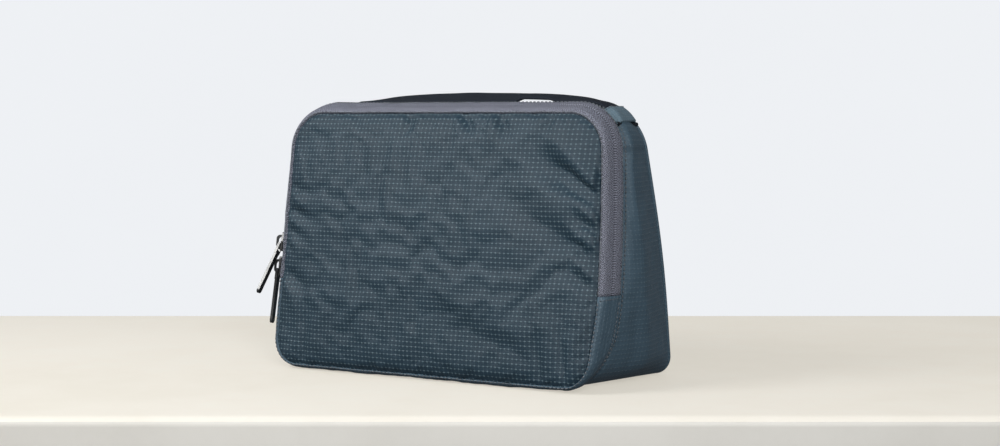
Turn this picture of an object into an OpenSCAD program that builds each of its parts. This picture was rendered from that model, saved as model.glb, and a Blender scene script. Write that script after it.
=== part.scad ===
// Soft zip-front shaving kit bag: a wedge of light ripstop cloth over foam, with a flap that
// folds down at the front, a two-slider coil zip round three of its sides, and a top strap.
// Origin: centre of the base on the surface it stands on. +X to the right of a person facing
// the flap, +Y towards the back, +Z up.

/* [Body] */
// Width over the two side panels at the base
body_w = 251; // [230:1:265]
// Height of the body to its top front edge
body_h = 177; // [165:1:190]
// Depth at the base, front panel to rear panel
base_d = 105; // [98:1:116]
// Depth at the top, front panel to rear panel
top_d = 42; // [41:1:50]
// How far the front panel leans back over its height
front_lean = 23; // [16:1:26]
// Share of the width lost between the base and the top
taper = 0.03; // [0:0.005:0.04]
// Radius of the upper corners, seen from the front
corner_r = 29; // [26:1:36]
// Radius of the lower front corners
foot_r = 23; // [18:1:26]

/* [Cloth] */
// Thickness of the outer cloth
shell_t = 1; // [0.8:0.1:1.2]
// Thickness of the lining
lining_t = 0.5; // [0.4:0.1:0.6]
// Thickness of the foam in the front and rear walls
foam_t = 3; // [2:0.5:3]
// Thickness of the stiffening board in the base
board_t = 1.2; // [1:0.1:1.5]

/* [Zip] */
// Height of the two ends of the zip, which is where the flap folds
fold_z = 60; // [55:1:65]
// Thickness of the zip tape
tape_t = 0.8; // [0.6:0.1:0.9]
// Half of the gap between the two tapes
half_gap = 0.6; // [0.5:0.1:0.8]
// Length of a slider
slider_l = 13; // [12:0.5:13]
// Height of the lower slider's centre
lower_slider_z = 67; // [67:1:72]
// Distance between the two sliders' centres
slider_pitch = 16.5; // [15:0.5:18]
// Length of a puller below its pivot
puller_l = 37; // [30:1:42]

/* [Handle] */
// Width of the strap
strap_w = 20; // [16:1:24]
// Thickness of the strap
strap_t = 2; // [1.5:0.5:2.5]
// Height of the strap's crown above the top front edge
crown_h = 8; // [6:0.5:9]

/* [Hidden] */
$fn = 32;

navy = "#34464f";
dark_navy = "#232c36";
tape_grey = "#5a5966";
lining_grey = "#3c4650";
foam_white = "#e4e4df";
gunmetal = "#4a4a47";

fold_gap = 0.4;                       // clear space at the fold, between flap and body
notch_z = lower_slider_z + slider_pitch + slider_l / 2 + 2;
coil_gap = 0.3;                       // between a tape's inner face and its coil
coil_tail = 5;
seam_gap = 0.1;                       // between two cloths that meet at a seam
layer_gap = 0.2;                      // between layers laid on one another
foam_trim = 4;                        // foam stops this far inside its panel's edge
lining_trim = 1.5;                    // a flap's lining stops this far inside its panel's edge
tuck = 0.1;                           // extra share of its thickness a cloth turns in at a seam
arc_n = 9;                            // steps in each corner arc
seam_step = 3;                        // arc step where the top panel meets a side panel
rear_inset = 1;                       // how far the rear seam lies inside the front outline
rear_foot_r = 12;
liner_inset = shell_t + 2 * layer_gap;
liner_foot = shell_t + board_t + 3 * layer_gap;
foam_y = shell_t + layer_gap;
liner_y = foam_y + foam_t + 1.5 * layer_gap;
pocket_gap = 2.5;                     // room inside a flat pocket
pocket_y = liner_y + lining_t + pocket_gap;
mesh_t = 0.5;
sewn_y = liner_y + lining_t + layer_gap;      // where a thing sewn to a lining begins
binding_w = 5;
binding_t = 0.8;
coil_w = 2.6;
coil_t = 1.5;

// The band round the front edge, as [inset from the outline, depth behind the front panel]:
// the front seam, the bend of the flap's tape, the zip line, the bend of the body's tape and
// the body seam. zip_angle is how far the band at the zip line has turned towards the front.
zip_angle = 14;
band_w = 6;                           // each tape's width beside the zip line
zip_line = [0.6, 8];
front_seam = [6.3, 0];
body_seam = [0, 17];

// A point beside the zip line: s along the tape towards the body, q inwards from its face.
function beside_zip(s, q) = [zip_line[0] - sin(zip_angle) * s + cos(zip_angle) * q,
                             zip_line[1] + cos(zip_angle) * s + sin(zip_angle) * q];

function y_front(z) = -base_d / 2 + front_lean * z / body_h;
function y_rear(z) = base_d / 2 - (base_d - top_d - front_lean) * z / body_h;
function tapered(p) = [p[0] * (1 - taper * p[1] / body_h), p[1]];

// Right half of an outline, from the middle of the base to the middle of the top, as [x, z].
// It has a point at the fold and one at the notch beside the parked sliders.
function half_outline(inset, foot, r_foot, r_top, z_fold = fold_z) =
    let (w = body_w / 2 - inset, top = body_h - inset)
    [for (p = concat(
        [[0, foot]],
        [for (k = [0 : arc_n]) let (a = -90 + 90 * k / arc_n)
            [w - r_foot + r_foot * cos(a), foot + r_foot + r_foot * sin(a)]],
        [[w, z_fold], [w, notch_z]],
        [for (k = [0 : arc_n]) let (a = 90 * k / arc_n)
            [w - r_top + r_top * cos(a), top - r_top + r_top * sin(a)]],
        [[0, top]])) tapered(p)];

i_base = 1;
i_fold = arc_n + 2;
i_notch = i_fold + 1;
i_seam = i_notch + 1 + seam_step;
i_arc_end = i_notch + 1 + arc_n;
i_top = i_arc_end + 1;

// An outline in the front band, at [inset, depth], as points in space.
function front_half(at, z_fold = fold_z) =
    [for (p = half_outline(at[0], max(0, 0.45 * at[0]), foot_r, corner_r - at[0], z_fold))
        [p[0], y_front(p[1]) + at[1], p[1]]];
// An outline near the rear seam.
function rear_half(inset, depth, foot) =
    [for (p = half_outline(rear_inset + inset, foot, rear_foot_r, corner_r - rear_inset - inset))
        [p[0], y_rear(p[1]) - depth, p[1]]];

function flip(p) = [-p[0], p[1], p[2]];
// Part of an outline between two places on its half, over the top, under the base or on one side.
function over(h, from) = concat([for (i = [from : i_top]) h[i]],
                                [for (i = [i_top - 1 : -1 : from]) flip(h[i])]);
function under(h, from) = concat([for (i = [from : -1 : 1]) flip(h[i])],
                                 [for (i = [0 : from]) h[i]]);
function all_round(h) = concat([for (i = [0 : i_top]) h[i]],
                               [for (i = [i_top - 1 : -1 : 1]) flip(h[i])]);

// A solid swept through a list of sections, each a list of the same number of points. The
// first half of a section is its inner side, and both sides are split along like diagonals.
module sweep(sections, closed = false) {
    n = len(sections);
    m = len(sections[0]);
    last = closed ? n - 1 : n - 2;
    walls = [for (i = [0 : last], k = [0 : m - 1])
        let (j = (i + 1) % n, l = (k + 1) % m, a = i * m + k, b = i * m + l,
             c = j * m + l, d = j * m + k)
        each (k < m / 2 ? [[a, b, c], [a, c, d]] : [[a, b, d], [b, c, d]])];
    caps = closed ? [] : [[for (k = [m - 1 : -1 : 0]) k], [for (k = [0 : m - 1]) (n - 1) * m + k]];
    polyhedron([for (s = sections) each s], concat(walls, caps), convexity = 6);
}

// A strip of cloth between outer and inner edges: lists of equally long lines of points.
module strip(outer, inner, closed = false) {
    sweep([for (i = [0 : len(outer[0]) - 1])
        concat([for (line = inner) line[i]],
               [for (k = [len(outer) - 1 : -1 : 0]) outer[k][i]])], closed);
}

// A flat sheet with a given outline in x and z, from depth y0 to y1 behind the front panel.
module front_sheet(outline, y0, y1) {
    tilt = atan(front_lean / body_h);
    translate([0, y_front(0) + y1, 0]) rotate([90 - tilt, 0, 0])
        linear_extrude((y1 - y0) * cos(tilt))
            polygon([for (p = outline) [p[0], p[2] / cos(tilt)]]);
}
// The same, from depth y0 to y1 in front of the rear panel's outer face.
module rear_sheet(outline, y0, y1) {
    tilt = atan((base_d - top_d - front_lean) / body_h);
    translate([0, y_rear(0) - y0, 0]) rotate([90 + tilt, 0, 0])
        linear_extrude((y1 - y0) * cos(tilt))
            polygon([for (p = outline) [p[0], p[2] / cos(tilt)]]);
}
function box_outline(w, z0, z1) = [[w, 0, z0], [w, 0, z1], [-w, 0, z1], [-w, 0, z0]];
function moved(outline, x) = [for (p = outline) p + [x, 0, 0]];

// ---- flap -------------------------------------------------------------------------------
lid_foot = fold_z + fold_gap / 2;
shell_top = fold_z - fold_gap / 2;

function lid_outline(inset, lift = 0) =
    over(front_half([front_seam[0] + inset, 0], lid_foot + lift), i_fold);
function lower_outline(inset, drop = 0) =
    under(front_half([front_seam[0] + inset, 0], shell_top - drop), i_fold);

module front_panel_upper() { color(navy) front_sheet(lid_outline(seam_gap), 0, shell_t); }
module front_foam_upper() {
    color(foam_white) front_sheet(lid_outline(foam_trim, foam_trim / 2), foam_y, foam_y + foam_t);
}
module front_lining_upper() {
    color(lining_grey) front_sheet(lid_outline(lining_trim, lining_trim / 2), liner_y, liner_y + lining_t);
}

// The flap's tape turns from the front seam to the zip line. Beside the parked sliders only
// its outer strip is whole, so that the flap can leave them.
module lid_zip_tape() {
    seam_in = [front_seam[0], (1 + tuck) * tape_t];
    bend = beside_zip(-band_w, 0);
    bend_in = beside_zip(-band_w, tape_t);
    edge = beside_zip(-half_gap, 0);
    edge_in = beside_zip(-half_gap, tape_t);
    function path(at) = over(front_half(at, lid_foot), i_fold);
    function open_path(at) = let (p = path(at)) [for (i = [0 : len(p) - 2]) p[i]];
    color(tape_grey) {
        strip([path(front_seam), path(bend)], [path(seam_in), path(bend_in)]);
        strip([open_path(bend), open_path(edge)], [open_path(bend_in), open_path(edge_in)]);
    }
}
module coil(side, z_low, skip) {
    near = side * half_gap;
    far = side * (half_gap + coil_w);
    near_q = tape_t + coil_gap;
    far_q = near_q + coil_t;
    function path(at) = let (p = over(front_half(at, z_low), i_fold))
        [for (i = [0 : len(p) - 1 - skip]) p[i]];
    a = [path(beside_zip(near, near_q)), path(beside_zip(far, near_q))];
    b = [path(beside_zip(near, far_q)), path(beside_zip(far, far_q))];
    if (side > 0) strip(a, b);
    else strip([a[1], a[0]], [b[1], b[0]]);
}
module lid_zip_coil() { color(tape_grey) coil(-1, lid_foot, 1); }

// A binding tape over the raw edges inside the flap's seam.
module lid_seam_binding() {
    near = front_seam[0] + lining_trim + 0.5;
    far = near + binding_w;
    function path(inset, y) = [for (p = over(front_half([inset, 0], lid_foot + 1), i_fold))
        [p[0], p[1] + y, p[2]]];
    color(dark_navy)
        strip([path(far, sewn_y), path(near, sewn_y)],
              [path(far, sewn_y + binding_t), path(near, sewn_y + binding_t)]);
}

lid_pocket_w = 92;
lid_pocket_z = [fold_z + 7, fold_z + 78];
rear_pocket_w = 96;
rear_pocket_z = [7, 96];
lid_hem = 6;
elastic_w = 8;
pocket_edge = 0.3;                    // from the edge of a mesh to the tape beside it
pocket_tape_x = pocket_edge + binding_w / 2;
pocket_front_y = pocket_y + 2 * mesh_t;
hem_y = pocket_y - 0.6;

module lid_pocket_mesh() {
    color(dark_navy, 0.6)
        front_sheet(box_outline(lid_pocket_w, lid_pocket_z[0], lid_pocket_z[1]),
                    pocket_y, pocket_y + mesh_t);
}
// The pocket's binding holds the mesh off the lining on three sides and hems its mouth.
module lid_pocket_binding() {
    color(dark_navy) {
        for (s = [-1, 1])
            front_sheet(moved(box_outline(binding_w / 2, lid_pocket_z[0], lid_pocket_z[1]),
                              s * (lid_pocket_w + pocket_tape_x)), sewn_y, pocket_front_y);
        front_sheet(box_outline(lid_pocket_w + pocket_edge + binding_w, lid_pocket_z[0] - binding_w,
                                lid_pocket_z[0] - pocket_edge), sewn_y, pocket_front_y);
        front_sheet(box_outline(lid_pocket_w, lid_pocket_z[1] + pocket_edge, lid_pocket_z[1] + lid_hem),
                    hem_y, pocket_front_y);
    }
}

// ---- body -------------------------------------------------------------------------------
module front_panel_lower() { color(navy) front_sheet(lower_outline(seam_gap), 0, shell_t); }
module front_foam_lower() {
    color(foam_white) front_sheet(lower_outline(foam_trim, foam_trim / 2), foam_y, foam_y + foam_t);
}
module front_lining_lower() {
    color(lining_grey) front_sheet(lower_outline(lining_trim, lining_trim / 2), liner_y, liner_y + lining_t);
}

// Below the zip, a strip of the outer cloth takes the band on round the foot of the bag.
module lower_gusset() {
    seam_in = [front_seam[0], (1 + tuck) * shell_t];
    bend = beside_zip(-band_w, 0);
    bend_in = beside_zip(-band_w, shell_t);
    turn = beside_zip(band_w, 0);
    turn_in = beside_zip(band_w, shell_t);
    seam_b = [body_seam[0] + shell_t, body_seam[1]];
    function path(at) = under(front_half(at, shell_top), i_fold);
    color(navy)
        strip([path(front_seam), path(bend), path(turn), path(body_seam)],
              [path(seam_in), path(bend_in), path(turn_in), path(seam_b)]);
}

module body_zip_tape() {
    edge = beside_zip(half_gap, 0);
    edge_in = beside_zip(half_gap, tape_t);
    turn = beside_zip(band_w, 0);
    turn_in = beside_zip(band_w, tape_t);
    seam_in = [body_seam[0] + tape_t, body_seam[1]];
    function path(at) = over(front_half(at, fold_z), i_fold);
    color(tape_grey)
        strip([path(edge), path(turn), path(body_seam)], [path(edge_in), path(turn_in), path(seam_in)]);
}
// The body's coil runs on for a short way behind the lower gusset.
module body_zip_coil() { color(tape_grey) coil(1, fold_z - coil_tail, 0); }

// A metal staple behind the coil's tail stops the sliders at each end of the zip.
module zip_end_stops() {
    stop_z = fold_z - coil_tail + 1.5;
    behind_coil = tape_t + coil_gap + coil_t + 0.7;
    color(gunmetal)
        for (s = [-1, 1]) let (at = beside_zip(half_gap + coil_w / 2, behind_coil))
            translate([s * (body_w / 2 - at[0]) * (1 - taper * stop_z / body_h),
                       y_front(stop_z) + at[1], stop_z])
                rotate([0, 0, -s * zip_angle]) cube([0.8, 2.4, 1.6], center = true);
}

module side_panel_right() {
    outer = front_half([body_seam[0], body_seam[1] + seam_gap]);
    inner = front_half([body_seam[0] + shell_t, body_seam[1] + seam_gap]);
    r_outer = rear_half(0, 0, 0);
    r_inner = rear_half(shell_t, 0, shell_t);
    function part(h) = [for (i = [i_base : i_seam]) h[i]];
    color(navy) strip([part(outer), part(r_outer)], [part(inner), part(r_inner)]);
}
module side_panel_left() { mirror([1, 0, 0]) side_panel_right(); }

module top_panel() {
    outer = front_half([body_seam[0], body_seam[1] + seam_gap]);
    inner = front_half([body_seam[0] + shell_t, body_seam[1] + seam_gap]);
    color(navy)
        strip([over(outer, i_seam), over(rear_half(0, 0, 0), i_seam)],
              [over(inner, i_seam), over(rear_half(shell_t, 0, shell_t), i_seam)]);
}

// The base is a flat trapezium, and the bag stands on it.
base_front_w = body_w / 2 - foot_r - shell_t - seam_gap;
base_rear_w = body_w / 2 - rear_inset - rear_foot_r - shell_t - seam_gap;
module base_plate(inset, z, t) {
    front = y_front(0) + body_seam[1] + seam_gap + inset;
    rear = y_rear(0) - inset;
    translate([0, 0, z]) linear_extrude(t)
        polygon([[-base_front_w + inset, front], [base_front_w - inset, front],
                 [base_rear_w - inset, rear], [-base_rear_w + inset, rear]]);
}
module base_panel() { color(navy) base_plate(0, 0, shell_t); }
module base_board() { color(foam_white) base_plate(3, shell_t + layer_gap, board_t); }

module rear_panel() {
    color(navy) rear_sheet(all_round(rear_half(shell_t + seam_gap, 0, liner_inset)), 0, shell_t);
}
module rear_foam() {
    color(foam_white)
        rear_sheet(all_round(rear_half(shell_t + foam_trim + 1, 0, shell_t + foam_trim + 1)),
                   foam_y, foam_y + foam_t);
}

// The body is lined with a ring all round and a sheet over the rear foam.
module body_lining() {
    front_depth = body_seam[1] + 1;
    function lined(inset) = [for (p = half_outline(inset, liner_foot + inset - liner_inset,
                                                   foot_r, corner_r - inset))
        [p[0], y_front(p[1]) + front_depth, p[1]]];
    function lined_rear(inset) = rear_half(inset - 2 * layer_gap, liner_y, liner_foot + inset - liner_inset);
    color(lining_grey)
        strip([all_round(lined(liner_inset)), all_round(lined_rear(liner_inset))],
              [all_round(lined(liner_inset + lining_t)), all_round(lined_rear(liner_inset + lining_t))],
              closed = true);
}
module rear_lining() {
    color(lining_grey)
        rear_sheet(all_round(rear_half(liner_inset + lining_t, 0, liner_foot + lining_t)),
                   liner_y, liner_y + lining_t);
}

// Binding tapes over the raw edges inside the two seams of the body.
module front_seam_binding() {
    depth = body_seam[1] + 2;
    function ring(inset, y) = all_round([for (p = half_outline(inset,
            liner_foot + lining_t + inset - liner_inset, foot_r, corner_r - inset))
        [p[0], y_front(p[1]) + y, p[1]]]);
    near = liner_inset + lining_t + 1.5 * layer_gap;
    far = near + binding_t;
    color(dark_navy)
        strip([ring(near, depth), ring(near, depth + binding_w)],
              [ring(far, depth), ring(far, depth + binding_w)], closed = true);
}
module rear_seam_binding() {
    near = liner_inset + lining_t;
    foot = liner_foot + lining_t + 1.5 * layer_gap;
    y0 = sewn_y + layer_gap;
    function ring(step, y) = all_round(rear_half(near + step, y, foot + step));
    color(dark_navy)
        strip([ring(0, y0 + binding_w), ring(0, y0)],
              [ring(binding_t, y0 + binding_w), ring(binding_t, y0)], closed = true);
}

// A bound seam stands a little proud where the top panel meets each side panel.
module top_seam_ridge_right() {
    low = 0.3;
    high = 1.8;
    end_gap = 1;
    function front(lift) = front_half([-lift, body_seam[1] + end_gap]);
    function rear(lift) = rear_half(-lift, end_gap, 0);
    function part(h) = let (mid = h[i_seam], step = (h[i_seam + 1] - h[i_seam]) / 5)
        [mid - step, mid + step];
    color(dark_navy) strip([part(front(high)), part(rear(high))], [part(front(low)), part(rear(low))]);
}
module top_seam_ridge_left() { mirror([1, 0, 0]) top_seam_ridge_right(); }

module rear_pocket_mesh() {
    color(dark_navy, 0.6)
        rear_sheet(box_outline(rear_pocket_w, rear_pocket_z[0], rear_pocket_z[1]),
                   pocket_y, pocket_y + mesh_t);
}
module rear_pocket_elastic() {
    color(dark_navy) {
        for (s = [-1, 1])
            rear_sheet(moved(box_outline(binding_w / 2, rear_pocket_z[0], rear_pocket_z[1]),
                             s * (rear_pocket_w + pocket_tape_x)), sewn_y, pocket_front_y);
        rear_sheet(box_outline(rear_pocket_w, rear_pocket_z[1] + pocket_edge, rear_pocket_z[1] + elastic_w),
                   hem_y, pocket_front_y + layer_gap);
    }
}
module care_label() {
    label_w = 28;
    label_x = 60;
    label_z = [118, 148];
    label_t = 0.4;
    color("#f0efe9")
        rear_sheet(moved(box_outline(label_w / 2, label_z[0], label_z[1]), label_x),
                   sewn_y, sewn_y + label_t);
}

// ---- strap ------------------------------------------------------------------------------
strap_y = (y_front(body_h) + body_seam[1] + y_rear(body_h)) / 2;
strap_x = (body_w / 2 - corner_r) * (1 - taper);
strap_end_gap = 0.3;                  // between a sewn end and the free strap
strap_lift = 0.3;                     // from the body's cloth to the underside of the strap

// Each end of the strap lies over a top corner and is caught in the seam of the side panel.
module strap_end_right() {
    y0 = strap_y - strap_w / 2;
    y1 = strap_y + strap_w / 2;
    function share(p, q, y) = (y - p[1]) / (q[1] - p[1]);
    // The top panel's surface at depth y, raised by lift.
    function on_top(i, y, lift) =
        let (p = front_half([-lift, body_seam[1]])[i], q = rear_half(-lift, 0, 0)[i], t = share(p, q, y))
        [p[0] + (q[0] - p[0]) * t, y, p[2] + (q[2] - p[2]) * t];
    function line(y, lift) = [for (i = [i_seam + 1 : i_arc_end]) on_top(i, y, lift)];
    color(dark_navy)
        strip([line(y0, strap_lift + strap_t), line(y1, strap_lift + strap_t)],
              [line(y0, strap_lift), line(y1, strap_lift)]);
}
module strap_end_left() { mirror([1, 0, 0]) strap_end_right(); }

// The free part of the strap, a low arch between the two sewn ends.
module handle_strap() {
    n = 24;
    x1 = strap_x - strap_end_gap;
    foot = body_h + strap_lift;
    rise = body_h + crown_h - strap_t - foot;
    function arch(x) = foot + rise * pow(cos(90 * x / x1), 0.5);
    under_side = [for (k = [-n : n]) let (x = x1 * sin(90 * k / n)) [x, arch(x)]];
    outline = concat(under_side, [for (k = [n : -1 : -n]) under_side[k + n] + [0, strap_t]]);
    color(dark_navy) translate([0, strap_y + strap_w / 2, 0]) rotate([90, 0, 0])
        linear_extrude(strap_w) polygon(outline);
}

// ---- sliders and pullers ----------------------------------------------------------------
// A frame on the left zip line at height z: +X out of the bag, +Z up along the zip.
side_x = body_w / 2 - zip_line[0];
lean_x = atan(front_lean / body_h);
lean_y = atan(taper * side_x / body_h);
module on_left_zip(z) {
    translate([-side_x * (1 - taper * z / body_h), y_front(z) + zip_line[1], z])
        rotate([-lean_x, lean_y, 0]) rotate([0, 0, 180 + zip_angle]) children();
}

plate_x = 0.5;                        // underside of the outer plate above the tape's face
plate_t = 1.4;
plate_w = 10.6;
tail_w = 7.6;
bridge_l = 9.2;
bridge_h = 5.2;
bridge_t = 1.2;
bridge_w = 1.6;
bridge_r = 2.6;
pivot_x = plate_x + plate_t + 2.2;
pivot_z = -bridge_l / 2 + bridge_t + 1.25;
pin_r = 0.7;
rail_x = 4.3;                         // from the middle of a slider to each side rail
rail_w = 0.9;
post_w = 0.5;
post_l = 3;
overlap = 0.1;                        // by which joined parts of one casting run together

module plate_outline() {
    hull() for (s = [-1, 1]) {
        translate([s * (plate_w / 2 - 1.5), -slider_l / 2 + 1.5]) circle(1.5);
        translate([s * (plate_w / 2 - 1.5), 0]) circle(1.5);
        translate([s * (tail_w / 2 - 1.2), slider_l / 2 - 1.2]) circle(1.2);
    }
}
// The mouth is at -Z, where the two tapes part round the post.
module slider_body() {
    inner_x = -(tape_t + 2.2 + plate_t);
    module along_zip(x, t) {
        translate([x, 0, 0]) rotate([90, 0, 90]) linear_extrude(t) children();
    }
    color(gunmetal) {
        along_zip(plate_x, plate_t) plate_outline();
        along_zip(inner_x, plate_t) plate_outline();
        for (s = [-1, 1])
            translate([inner_x + overlap, s * rail_x - rail_w / 2, -slider_l / 2 + 1.5])
                cube([2 * plate_t, rail_w, slider_l - 5]);
        translate([inner_x + overlap, -post_w / 2, -slider_l / 2 + 0.4])
            cube([-inner_x + plate_x + overlap, post_w, post_l]);
        translate([plate_x + plate_t - overlap, bridge_w / 2, 0]) rotate([90, 0, 0])
            linear_extrude(bridge_w) difference() {
                bridge_outline(bridge_l, bridge_h + overlap);
                bridge_outline(bridge_l - 2 * bridge_t, bridge_h + overlap - bridge_t);
            }
    }
}
module bridge_outline(l, h) {
    intersection() {
        translate([0, -l / 2]) square([h, l]);
        hull() for (s = [-1, 1]) {
            translate([h - bridge_r, s * (l / 2 - bridge_r)]) circle(bridge_r);
            translate([-bridge_r, s * (l / 2 - bridge_r)]) circle(bridge_r);
        }
    }
}

eye_w = 5.8;
eye_hole_w = 3.4;
eye_l = 4.5;
eye_foot = 2.4;                       // metal below the eye, where it narrows to the bar
bar_w = 4.6;
puller_t = 1.7;
// A puller hangs from its round cross pin, which passes through the slider's bridge.
module puller_body() {
    color(gunmetal) {
        translate([0, eye_w / 2, 0]) rotate([90, 0, 0]) cylinder(h = eye_w, r = pin_r);
        translate([-puller_t / 2, 0, 0]) rotate([90, 0, 90]) linear_extrude(puller_t)
            difference() {
                puller_outline();
                translate([-eye_hole_w / 2, -eye_l]) square([eye_hole_w, eye_l + 3]);
            }
    }
}
module puller_outline() {
    translate([-eye_w / 2, -eye_l - eye_foot]) square([eye_w, eye_l + eye_foot]);
    hull() {
        translate([0, -eye_l - eye_foot]) square([bar_w, overlap], center = true);
        translate([0, -puller_l + bar_w / 2]) circle(bar_w / 2);
    }
}

module upper_slider() {
    on_left_zip(lower_slider_z + slider_pitch) slider_body();
}
module lower_slider() { on_left_zip(lower_slider_z) mirror([0, 0, 1]) slider_body(); }

// The upper puller leans out, and forwards past the lower slider.
puller_out = 12;
puller_forward = 21;
lower_puller_out = 2;
module upper_puller() {
    on_left_zip(lower_slider_z + slider_pitch) translate([pivot_x, 0, pivot_z])
        rotate([puller_forward, 0, 0]) rotate([0, -puller_out, 0]) puller_body();
}
module lower_puller() {
    on_left_zip(lower_slider_z) translate([pivot_x, 0, pivot_z])
        rotate([0, -lower_puller_out, 0]) puller_body();
}

front_panel_upper();
front_foam_upper();
front_lining_upper();
lid_zip_tape();
lid_zip_coil();
lid_seam_binding();
lid_pocket_mesh();
lid_pocket_binding();
front_panel_lower();
front_foam_lower();
front_lining_lower();
lower_gusset();
body_zip_tape();
body_zip_coil();
zip_end_stops();
side_panel_left();
side_panel_right();
top_panel();
base_panel();
base_board();
rear_panel();
rear_foam();
body_lining();
rear_lining();
front_seam_binding();
rear_seam_binding();
top_seam_ridge_left();
top_seam_ridge_right();
rear_pocket_mesh();
rear_pocket_elastic();
care_label();
strap_end_left();
strap_end_right();
handle_strap();
upper_slider();
lower_slider();
upper_puller();
lower_puller();
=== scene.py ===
"""The looks of the shaving kit bag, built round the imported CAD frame. Lengths are in millimetres
until a mesh is made. +X is to the right of a person facing the flap, +Y is back, +Z is up."""

import math

import bpy
import numpy as np
from mathutils import Matrix, Vector


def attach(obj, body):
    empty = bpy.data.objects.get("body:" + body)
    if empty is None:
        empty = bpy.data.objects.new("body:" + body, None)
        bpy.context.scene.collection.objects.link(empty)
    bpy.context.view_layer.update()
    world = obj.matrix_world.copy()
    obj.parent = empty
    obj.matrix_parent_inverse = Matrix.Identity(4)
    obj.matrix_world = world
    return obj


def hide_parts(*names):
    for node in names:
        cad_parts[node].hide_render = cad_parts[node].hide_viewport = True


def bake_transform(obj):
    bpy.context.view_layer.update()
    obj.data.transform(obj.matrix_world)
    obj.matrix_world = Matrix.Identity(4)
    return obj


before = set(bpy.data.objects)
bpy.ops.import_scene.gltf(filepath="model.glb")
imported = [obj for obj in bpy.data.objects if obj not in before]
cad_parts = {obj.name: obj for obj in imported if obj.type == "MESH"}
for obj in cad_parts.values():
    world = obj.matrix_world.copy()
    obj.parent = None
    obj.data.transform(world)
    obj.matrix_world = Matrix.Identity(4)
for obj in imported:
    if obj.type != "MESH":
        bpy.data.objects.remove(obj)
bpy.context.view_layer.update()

# ---- driving sizes, as in the CAD source ----
BODY_W, BODY_H = 251.0, 177.0
BASE_D, TOP_D, FRONT_LEAN = 105.0, 42.0, 23.0
TAPER = 0.03
CORNER_R, FOOT_R = 29.0, 23.0
REAR_INSET, REAR_FOOT_R = 1.0, 12.0
FOLD_Z = 60.0
FRONT_SEAM = 6.3                 # inset of the front seam from the outline
ZIP_DEPTH = 8.0                  # the zip's slit, behind the front panel
BAND_DEPTH = 17.0                # the body seam, behind the front panel
SEAM_ANGLE = 33.0                # where the top panel meets a side panel, on the corner arc
FRONT_FOOT = 4.0                 # height of the front seam above the table
RIGHT_BOW, BOW_TOP = 3.4, 165.0  # how far the right side bows out, and where that ends
RIGHT_TUCK = 4.5                 # how far the right foot is drawn in
FOOT_SPREAD = 14.0               # how much larger the body seam's foot arc is than the zip line's
PANEL_T, SIDE_T, BASE_T = 0.8, 0.6, 0.7     # thickness of the outer cloths
TAPE_T, LINING_T = 0.55, 0.4
MM = 0.001
SEED = 11


def front_y(z):
    return -BASE_D / 2 + FRONT_LEAN * z / BODY_H


def rear_y(z):
    return BASE_D / 2 - (BASE_D - TOP_D - FRONT_LEAN) * z / BODY_H


def ease(t):
    t = np.clip(t, 0, 1)
    return t * t * (3 - 2 * t)


def waves(a, b, length, seed, count=14):
    """Smooth noise over two coordinates, about -1 to 1, with features about `length` long."""
    rng = np.random.default_rng(seed)
    total = 0.0
    for _ in range(count):
        turn = rng.uniform(0, 2 * math.pi)
        k = 2 * math.pi / (length * rng.uniform(0.7, 1.9))
        total = total + np.sin(k * (a * math.cos(turn) + b * math.sin(turn)) + rng.uniform(0, 6.3))
    return total / math.sqrt(count)


# ---- outlines ----
# Stations along the right half of an outline, from the middle of the base to the middle of the
# top: the base, the foot's arc, the side below and above the fold, the corner's arc, the top.
STEPS = {"base": 44, "foot": 14, "low": 16, "side": 40, "corner": 24, "top": 42}
I_FOOT = STEPS["base"]
I_FOLD = I_FOOT + STEPS["foot"] + STEPS["low"]
I_CORNER = I_FOLD + STEPS["side"]
I_SEAM = I_CORNER + round(STEPS["corner"] * SEAM_ANGLE / 90)
I_TOP = I_CORNER + STEPS["corner"] + STEPS["top"]


def half_outline(inset, foot, foot_radius, corner_radius):
    """The right half of an outline as (n, 2) x and z. Parts of it are the same in each outline."""
    w, top = BODY_W / 2 - inset, BODY_H - inset
    share = {k: np.arange(n) / n for k, n in STEPS.items()}
    down = np.radians(-90 + 90 * share["foot"])
    up = np.radians(90 * share["corner"])
    low = foot + foot_radius
    high = top - corner_radius
    x = [share["base"] * (w - foot_radius), w - foot_radius + foot_radius * np.cos(down),
         np.full(STEPS["low"], w), np.full(STEPS["side"], w),
         w - corner_radius + corner_radius * np.cos(up),
         (w - corner_radius) * (1 - share["top"]), [0.0]]
    z = [np.full(STEPS["base"], foot), low + foot_radius * np.sin(down),
         low + (FOLD_Z - low) * share["low"], FOLD_Z + (high - FOLD_Z) * share["side"],
         high + corner_radius * np.sin(up), np.full(STEPS["top"], top), [top]]
    x, z = np.concatenate(x), np.concatenate(z)
    return np.stack([x * (1 - TAPER * z / BODY_H), z], 1)


def loop(half):
    """A whole outline from its right half: up the right, over the top and down the left.
    The right side bows out a little."""
    left = half[-2:0:-1] * [-1, 1]
    right = half.copy()
    bow = np.sin(math.pi * np.clip(half[:, 1] / BOW_TOP, 0, 1)) ** 1.3
    right[:, 0] += RIGHT_BOW * bow * (half[:, 0] / (BODY_W / 2)) ** 6
    return np.concatenate([right, left])


N_LOOP = 2 * I_TOP
OVER = np.arange(I_FOLD, N_LOOP - I_FOLD + 1)                    # the zip's way, right to left
UNDER = np.arange(-I_FOLD, I_FOLD + 1)                           # the lower gusset's way
TOP = np.arange(I_SEAM, N_LOOP - I_SEAM + 1)
SIDE = np.arange(I_FOOT, I_SEAM + 1)


def tucked(outline):
    """The right foot of the front band is drawn in below the fold."""
    x, z = outline[:, 0], outline[:, 1]
    share = np.clip(x / (BODY_W / 2), 0, 1) ** 4
    return np.stack([x - RIGHT_TUCK * ease((FOLD_Z - z) / FOLD_Z) * share, z], 1)


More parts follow.
